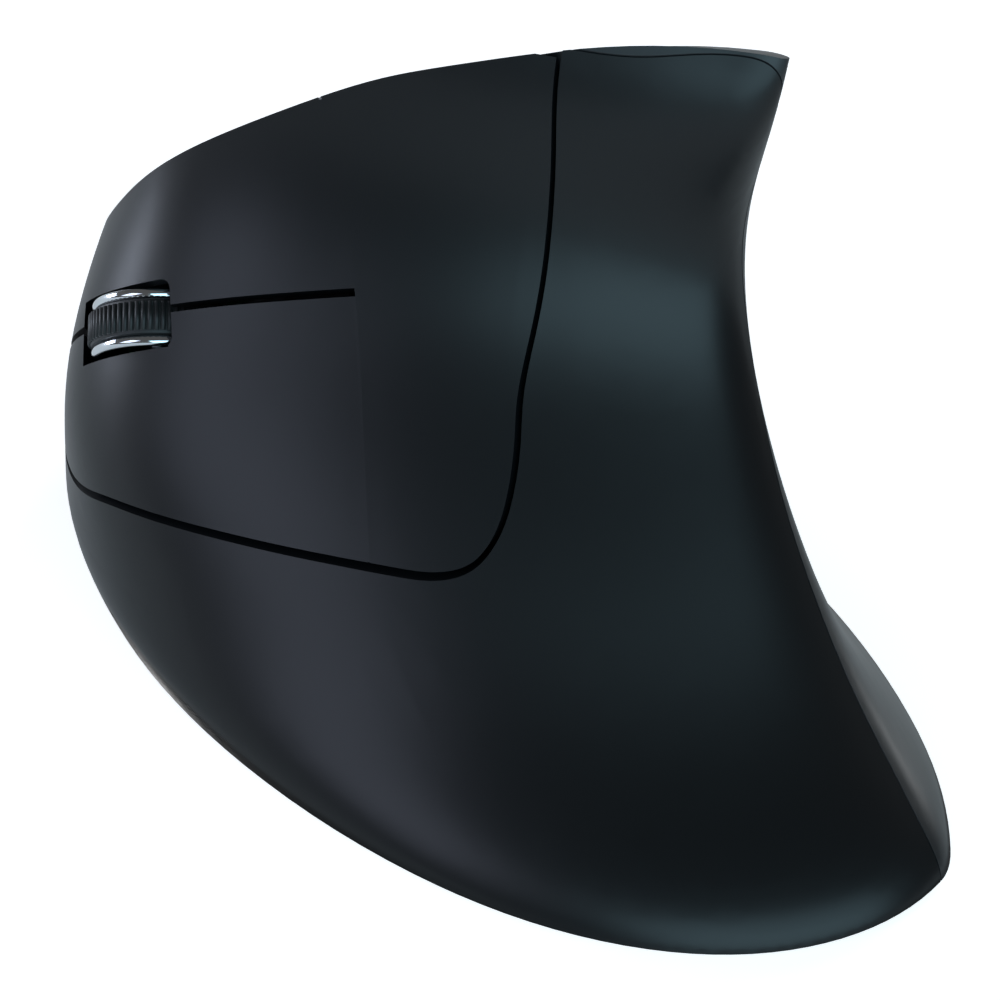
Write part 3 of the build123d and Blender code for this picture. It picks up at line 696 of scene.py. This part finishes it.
@dataclass
class ScrollWheel:
    """Ribbed rubber tyre between two bright rims, turned on the axle."""

    radius_mm: float = 8.5
    width_mm: float = 4.3
    depth_mm: float = 2.2
    axle_mm: float = 1.2
    edge_mm: float = 0.45
    edge_ease: float = 0.3
    rib_height_mm: float = 0.32
    ribs: int = 67
    rib_sides: int = 10
    rim_width_mm: float = 1.3
    rim_radius_mm: float = 8.1
    rim_steps: int = 96
    bead_share: float = 0.9
    bead_steps: int = 12
    shoulder_share: float = 0.55
    dish_share: float = 0.45

    def rib_tree(self, material: bpy.types.Material) -> bpy.types.NodeTree:
        """Builds the tree that sets half-round ribs round the tread.

        Args:
            material: Finish of the tread and its ribs.

        Returns:
            The geometry tree.
        """
        tree, given, result = new_tree("tread_ribs", {
            "Ribs": ("NodeSocketInt", self.ribs),
            "Tread Radius": ("NodeSocketFloat", self.radius_mm * MM),
            "Rib Radius": ("NodeSocketFloat", self.rib_height_mm * MM),
            "Rib Length": ("NodeSocketFloat", self.width_mm * MM),
        })
        ring = add(tree, "GeometryNodeMeshCircle", {
            "Vertices": given.outputs["Ribs"], "Radius": given.outputs["Tread Radius"],
        }, fill_type="NONE")
        rib = add(tree, "GeometryNodeMeshCylinder", {
            "Vertices": self.rib_sides, "Side Segments": 1, "Radius": given.outputs["Rib Radius"],
            "Depth": given.outputs["Rib Length"],
        }, fill_type="NGON")
        place = add(tree, "GeometryNodeInputPosition")
        parts = add(tree, "ShaderNodeSeparateXYZ", {0: place.outputs[0]})
        turn = add(tree, "ShaderNodeMath", {
            0: parts.outputs["Y"], 1: parts.outputs["X"],
        }, operation="ARCTAN2")
        angles = add(tree, "ShaderNodeCombineXYZ", {"Z": turn.outputs[0]})
        spread = add(tree, "GeometryNodeInstanceOnPoints", {
            "Points": ring.outputs["Mesh"], "Instance": rib.outputs["Mesh"], "Rotation": angles.outputs[0],
        })
        real = add(tree, "GeometryNodeRealizeInstances", {0: spread.outputs[0]})
        smooth = add(tree, "GeometryNodeSetShadeSmooth", {"Geometry": real.outputs[0], "Shade Smooth": True})
        joined = add(tree, "GeometryNodeJoinGeometry")
        tree.links.new(smooth.outputs[0], joined.inputs[0])
        tree.links.new(given.outputs["Geometry"], joined.inputs[0])
        painted = add(tree, "GeometryNodeSetMaterial", {"Geometry": joined.outputs[0], "Material": material})
        tree.links.new(painted.outputs[0], result.inputs[0])
        return tree

    def tyre(self, way: FingerFrame, material: bpy.types.Material) -> bpy.types.Object:
        """Builds the crowned tread with its ribs.

        Args:
            way: The finger frame.
            material: Finish of the rubber.

        Returns:
            The tyre, which stands for its CAD ring.
        """
        half, tread = self.width_mm / 2, self.radius_mm - self.rib_height_mm
        inner, edge = self.radius_mm - self.depth_mm, self.edge_mm
        ease = edge * self.edge_ease
        profile = [
            (inner, -half), (tread - edge, -half), (tread - ease, -half + ease), (tread, -half + edge),
            (tread, half - edge), (tread - ease, half - ease), (tread - edge, half), (inner, half),
        ]
        band = mesh_object("tread_band", lathe(profile, self.ribs * 2, Matrix.Identity(4)), material)
        values = {
            "Ribs": self.ribs, "Tread Radius": tread * MM, "Rib Radius": self.rib_height_mm * MM,
            "Rib Length": (self.width_mm - 2 * edge) * MM,
        }
        made = baked(band, self.rib_tree(material), values, "ribbed_tyre", way.axle_place())
        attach(made, "wheel_body")
        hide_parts("wheel_tyre")
        return made

    def rim(self, side: Side, way: FingerFrame, material: bpy.types.Material) -> bpy.types.Object:
        """Builds one bright rim with a rounded bead and a dished face.

        Args:
            side: End of the wheel.
            way: The finger frame.
            material: Finish of the plating.

        Returns:
            The rim, which stands for its CAD disc.
        """
        half, outer = self.rim_width_mm / 2, self.rim_radius_mm
        bead, dish = half * self.bead_share, half * self.dish_share
        profile = [(self.axle_mm, -half), (outer - bead, -half)]
        for step in range(1, self.bead_steps):
            turn = -math.pi / 2 + math.pi * step / self.bead_steps
            profile.append((outer - bead + bead * math.cos(turn), half * math.sin(turn)))
        profile += [
            (outer - bead, half), (outer - bead * 2, half * self.shoulder_share), (outer - bead * 4, dish),
            (self.axle_mm, dish),
        ]
        place = way.axle_place(side.value * (self.width_mm + self.rim_width_mm) / 2)
        if side is Side.UPPER:
            place = place @ Matrix.Rotation(math.pi, 4, "X")
        made = mesh_object(f"bright_rim_{side.name.lower()}", lathe(profile, self.rim_steps, place), material)
        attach(made, "wheel_body")
        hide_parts(f"wheel_rim_{side.name.lower()}")
        return made


@dataclass
class Underside:
    """Screws with cross recesses and the ribbed finger grip of the battery door."""

    head_radius_mm: float = 2.2
    head_height_mm: float = 1.1
    head_ease_mm: float = 0.35
    head_ease_height_mm: float = 0.3
    head_steps: int = 32
    shank_radius_mm: float = 1.1
    shank_length_mm: float = 8.0
    point_length_mm: float = 1.0
    point_radius_mm: float = 0.2
    recess_reach_mm: float = 1.25
    recess_width_mm: float = 0.45
    recess_depth_mm: float = 0.7
    recess_taper: float = 0.7
    screw_sharp_angle: float = 30.0
    grip_ribs: int = 6
    grip_width_mm: float = 12.0
    grip_pitch_mm: float = 1.2
    grip_rib_mm: float = 0.22
    grip_rib_sides: int = 12
    grip_from_end_mm: float = 14.0

    def recess_outline(self) -> list[tuple[float, float]]:
        """Finds the corners of the cross recess.

        Returns:
            The corners in millimetres, in order round the cross.
        """
        reach, half = self.recess_reach_mm, self.recess_width_mm / 2
        corners = [(reach, -half), (reach, half), (half, half), (half, reach), (-half, reach), (-half, half)]
        return corners + [(-x, -y) for x, y in corners]

    def screw_levels(self) -> list[tuple[float, float]]:
        """Finds the screw's radius and height at each step from its head to its point.

        Returns:
            The radii and heights in millimetres.
        """
        radius, top, shank = self.head_radius_mm, self.head_height_mm, self.shank_radius_mm
        end = top + self.shank_length_mm
        return [
            (radius - self.head_ease_mm, 0.0), (radius, self.head_ease_height_mm), (radius, top), (shank, top),
            (shank, end - self.point_length_mm), (self.point_radius_mm, end),
        ]

    def screw(self, material: bpy.types.Material) -> bpy.types.Object:
        """Builds one cross-headed screw, head at the bottom, pointing up.

        Args:
            material: Finish of the steel.

        Returns:
            The screw at the origin.
        """
        bm = bmesh.new()
        steps, cross = self.head_steps, self.recess_outline()
        turns = [FULL_TURN * i / steps for i in range(steps)]
        rings = [
            [bm.verts.new((r * MM * math.cos(t), r * MM * math.sin(t), z * MM)) for t in turns]
            for r, z in self.screw_levels()
        ]
        for a, b in zip(rings, rings[1:]):
            for i in range(steps):
                j = (i + 1) % steps
                bm.faces.new((a[i], a[j], b[j], b[i]))
        bm.faces.new(rings[-1])
        top = [bm.verts.new((x * MM, y * MM, 0)) for x, y in cross]
        taper, floor = self.recess_taper, self.recess_depth_mm * MM
        deep = [bm.verts.new((x * taper * MM, y * taper * MM, floor)) for x, y in cross]
        loops = []
        for loop in (rings[0], top):
            for pair in zip(loop, loop[1:] + loop[:1]):
                loops.append(bm.edges.get(pair) or bm.edges.new(pair))
        bmesh.ops.triangle_fill(bm, edges=loops, use_beauty=True)
        inside = [f for f in bm.faces if len(f.verts) == 3 and all(v in top for v in f.verts)]
        bmesh.ops.delete(bm, geom=inside, context="FACES_ONLY")
        for i in range(len(cross)):
            j = (i + 1) % len(cross)
            bm.faces.new((top[i], top[j], deep[j], deep[i]))
        bm.faces.new(deep)
        return mesh_object("screw_seed", bm, material, self.screw_sharp_angle)

    def spots(self) -> list[Vector]:
        """Finds the centre of each screw head's underside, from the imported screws.

        Returns:
            The centres, one for each quarter of the base.
        """
        groups: dict[tuple[int, int], list[Vector]] = {}
        for vertex in frame["nodes"]["base_screws"].data.vertices:
            groups.setdefault((vertex.co.x > 0, vertex.co.y > 0), []).append(vertex.co)
        made = []
        for points in groups.values():
            x = (min(p.x for p in points) + max(p.x for p in points)) / 2
            y = (min(p.y for p in points) + max(p.y for p in points)) / 2
            made.append(Vector((x, y, min(p.z for p in points))))
        return made

    def screws(self, material: bpy.types.Material) -> bpy.types.Object:
        """Sets a screw at each spot.

        Args:
            material: Finish of the steel.

        Returns:
            All screws as one piece, which stands for the CAD group.
        """
        tree, given, result = new_tree("screw_set", {})
        seed = self.screw(material)
        info = add(tree, "GeometryNodeObjectInfo", {"Object": seed})
        spread = add(tree, "GeometryNodeInstanceOnPoints", {
            "Points": given.outputs["Geometry"], "Instance": info.outputs["Geometry"],
        })
        real = add(tree, "GeometryNodeRealizeInstances", {0: spread.outputs[0]})
        painted = add(tree, "GeometryNodeSetMaterial", {"Geometry": real.outputs[0], "Material": material})
        tree.links.new(painted.outputs[0], result.inputs[0])
        mesh = bpy.data.meshes.new("screw_spots")
        mesh.from_pydata([tuple(p) for p in self.spots()], [], [])
        made = baked(linked("screw_spots", mesh), tree, {}, "cross_head_screws", Matrix.Identity(4))
        bpy.data.objects.remove(seed)
        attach(made, "housing")
        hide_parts("base_screws")
        return made

    def door_grip(self, material: bpy.types.Material) -> bpy.types.Object:
        """Sets a row of low ribs on the door beside its finger notch.

        Args:
            material: Finish of the door.

        Returns:
            The ribs, which ride on the door.
        """
        low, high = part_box("battery_door")
        pitch, length = self.grip_pitch_mm * MM, self.grip_width_mm * MM
        tree, given, result = new_tree("grip_ribs", {
            "Ribs": ("NodeSocketInt", self.grip_ribs), "Pitch": ("NodeSocketFloat", pitch),
            "Length": ("NodeSocketFloat", length),
        })
        step = add(tree, "ShaderNodeCombineXYZ", {"Y": given.outputs["Pitch"]})
        row = add(tree, "GeometryNodeMeshLine", {
            "Count": given.outputs["Ribs"], "Offset": step.outputs[0],
        }, mode="OFFSET")
        rib = add(tree, "GeometryNodeMeshCylinder", {
            "Vertices": self.grip_rib_sides, "Radius": self.grip_rib_mm * MM, "Depth": given.outputs["Length"],
        })
        spread = add(tree, "GeometryNodeInstanceOnPoints", {
            "Points": row.outputs[0], "Instance": rib.outputs["Mesh"], "Rotation": (0.0, math.pi / 2, 0.0),
        })
        real = add(tree, "GeometryNodeRealizeInstances", {0: spread.outputs[0]})
        painted = add(tree, "GeometryNodeSetMaterial", {"Geometry": real.outputs[0], "Material": material})
        tree.links.new(painted.outputs[0], result.inputs[0])
        source = linked("grip_seed", bpy.data.meshes.new("grip_seed"))
        values = {"Ribs": self.grip_ribs, "Pitch": pitch, "Length": length}
        start = Vector(((low.x + high.x) / 2, high.y - self.grip_from_end_mm * MM, low.z))
        made = baked(source, tree, values, "door_grip_ribs", Matrix.Translation(start))
        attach(made, "door_body")
        return made


@dataclass(frozen=True)
class Softbox:
    """A soft lamp that looks at the object, with sizes in metres and power in watts."""

    name: str
    way: tuple[float, float, float]
    distance: float
    size: tuple[float, float]
    power: float
    colour: str

    def place(self, target: Vector) -> None:
        """Sets the lamp up.

        Args:
            target: The point that it looks at, from which its way and distance are taken.
        """
        data = bpy.data.lights.new(self.name, "AREA")
        data.shape = "RECTANGLE"
        data.size, data.size_y = self.size
        data.energy = self.power
        data.color = linear(self.colour)[:3]
        direction = Vector(self.way).normalized()
        made = linked(self.name, data)
        made.location = target + direction * self.distance
        made.rotation_mode = "QUATERNION"
        made.rotation_quaternion = (-direction).to_track_quat("-Z", "Y")


@dataclass
class Studio:
    """Camera at the photograph's angle, soft lamps and a pale floor."""

    azimuth: float = 120.0
    elevation: float = 45.0
    distance: float = 0.7
    target: tuple[float, float, float] = (0.005403, 0.002418, 0.0308)
    lens: float = 223.02
    sensor_mm: float = 36.0
    clip: tuple[float, float] = (0.01, 20.0)
    fill_level: float = 0.04
    glossy_level: float = 0.06
    floor_glow: float = 0.75
    floor_shine: float = 0.24
    floor_colour: str = "#e2e2e2"
    floor_roughness: float = 0.9
    floor_radius: float = 4.0
    floor_sides: int = 64
    floor_drop_mm: float = 0.02
    underside_reach: float = 4 * MM
    softboxes: tuple[Softbox, ...] = (
        Softbox("softbox_rear_right", (0.54, 0.68, 0.44), 0.9, (1.25, 0.70), 8.5, "#b6e0f0"),
        Softbox("softbox_front_right", (0.78, -0.46, 0.48), 1.0, (0.45, 0.50), 2.1, "#d2dcf4"),
        Softbox("low_front", (0.12, -1.0, 0.16), 0.8, (0.5, 0.22), 4.2, "#dfe8fa"),
        Softbox("softbox_thumb_side", (-0.95, 0.15, 0.22), 0.9, (0.5, 0.35), 4.5, "#f2f8fa"),
        Softbox("softbox_below", (0.1, -0.2, -1.0), 0.7, (0.6, 0.6), 6.0, WHITE),
    )

    def camera(self) -> None:
        """Sets up the camera."""
        around, up = math.radians(self.azimuth), math.radians(self.elevation)
        back = Vector((math.sin(around) * math.cos(up), -math.cos(around) * math.cos(up), math.sin(up)))
        data = bpy.data.cameras.new("camera")
        data.lens = self.lens
        data.sensor_width = self.sensor_mm
        data.clip_start, data.clip_end = self.clip
        made = linked("camera", data)
        made.location = Vector(self.target) + back * self.distance
        made.rotation_mode = "QUATERNION"
        made.rotation_quaternion = (-back).to_track_quat("-Z", "Y")
        bpy.context.scene.camera = made

    def world(self) -> None:
        """Makes the world, white to the camera and dim to the object."""
        world = bpy.data.worlds.new("studio")
        bpy.context.scene.world = world
        world.use_nodes = True
        tree = world.node_tree
        tree.nodes.clear()
        path = add(tree, "ShaderNodeLightPath").outputs
        seen = add(tree, "ShaderNodeMath", {
            0: path["Is Camera Ray"], 1: path["Is Transmission Ray"],
        }, operation="MAXIMUM")
        shine = add(tree, "ShaderNodeMath", {
            0: path["Is Glossy Ray"], 1: self.glossy_level,
        }, operation="MULTIPLY")
        total = add(tree, "ShaderNodeMath", {0: seen.outputs[0], 1: shine.outputs[0]}, operation="MAXIMUM")
        level = add(tree, "ShaderNodeMapRange", {
            "Value": total.outputs[0], "To Min": self.fill_level, "To Max": 1.0,
        })
        back = add(tree, "ShaderNodeBackground", {"Color": linear(WHITE), "Strength": level.outputs[0]})
        add(tree, "ShaderNodeOutputWorld", {"Surface": back.outputs[0]})

    def floor(self) -> None:
        """Makes the floor, pale from above and clear from below."""
        material, tree = empty_material("pale_floor")
        path = add(tree, "ShaderNodeLightPath").outputs
        seen = add(tree, "ShaderNodeMath", {
            0: path["Is Camera Ray"], 1: self.floor_glow,
        }, operation="MULTIPLY")
        shine = add(tree, "ShaderNodeMath", {
            0: path["Is Glossy Ray"], 1: self.floor_shine,
        }, operation="MULTIPLY")
        glow = add(tree, "ShaderNodeMath", {0: seen.outputs[0], 1: shine.outputs[0]}, operation="MAXIMUM")
        shader = add(tree, "ShaderNodeBsdfPrincipled", {
            "Base Color": linear(self.floor_colour), "Roughness": self.floor_roughness,
            "Specular IOR Level": 0.0, "Emission Color": linear(WHITE), "Emission Strength": glow.outputs[0],
        })
        toward_eye = add(tree, "ShaderNodeNewGeometry").outputs["Incoming"]
        height = add(tree, "ShaderNodeSeparateXYZ", {0: toward_eye}).outputs["Z"]
        from_below = add(tree, "ShaderNodeMath", {0: height, 1: 0.0}, operation="LESS_THAN")
        # Short rays come from the underside, so the lamp below lights only that.
        short = add(tree, "ShaderNodeMath", {
            0: path["Ray Length"], 1: self.underside_reach,
        }, operation="LESS_THAN")
        unseen = add(tree, "ShaderNodeMath", {
            0: short.outputs[0], 1: path["Is Camera Ray"],
        }, operation="SUBTRACT")
        clear = add(tree, "ShaderNodeMath", {
            0: from_below.outputs[0], 1: unseen.outputs[0],
        }, operation="MAXIMUM")
        through = add(tree, "ShaderNodeBsdfTransparent")
        either = add(tree, "ShaderNodeMixShader", {
            0: clear.outputs[0], 1: shader.outputs[0], 2: through.outputs[0],
        })
        add(tree, "ShaderNodeOutputMaterial", {"Surface": either.outputs[0]})
        bm = bmesh.new()
        bmesh.ops.create_circle(bm, cap_ends=True, segments=self.floor_sides, radius=self.floor_radius)
        bmesh.ops.translate(bm, vec=(0, 0, -self.floor_drop_mm * MM), verts=bm.verts)
        floor = mesh_object("floor", bm, material)

    def build(self) -> None:
        """Sets up camera, lamps, world and floor."""
        self.camera()
        for softbox in self.softboxes:
            softbox.place(Vector(self.target))
        self.world()
        self.floor()
        bpy.context.scene.view_settings.view_transform = "Standard"


def main() -> None:
    """Builds the looks in order."""
    logging.basicConfig(level=logging.INFO, format="%(message)s")
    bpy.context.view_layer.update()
    finishes = Finishes()
    way = FingerFrame()
    Studio().build()
    Shells().dress(finishes)
    wheel = ScrollWheel()
    log.info("piece %s", wheel.tyre(way, finishes.rubber).name)
    for side in Side:
        log.info("piece %s", wheel.rim(side, way, finishes.plated).name)
    strips = FlexStrips()
    strips.make("upper_key", Side.UPPER, way, finishes.soft_touch)
    strips.make("lower_key", Side.LOWER, way, finishes.soft_touch)
    below = Underside()
    log.info("piece %s", below.screws(finishes.steel).name)
    log.info("piece %s", below.door_grip(finishes.grained).name)


if __name__ == "__main__":
    main()
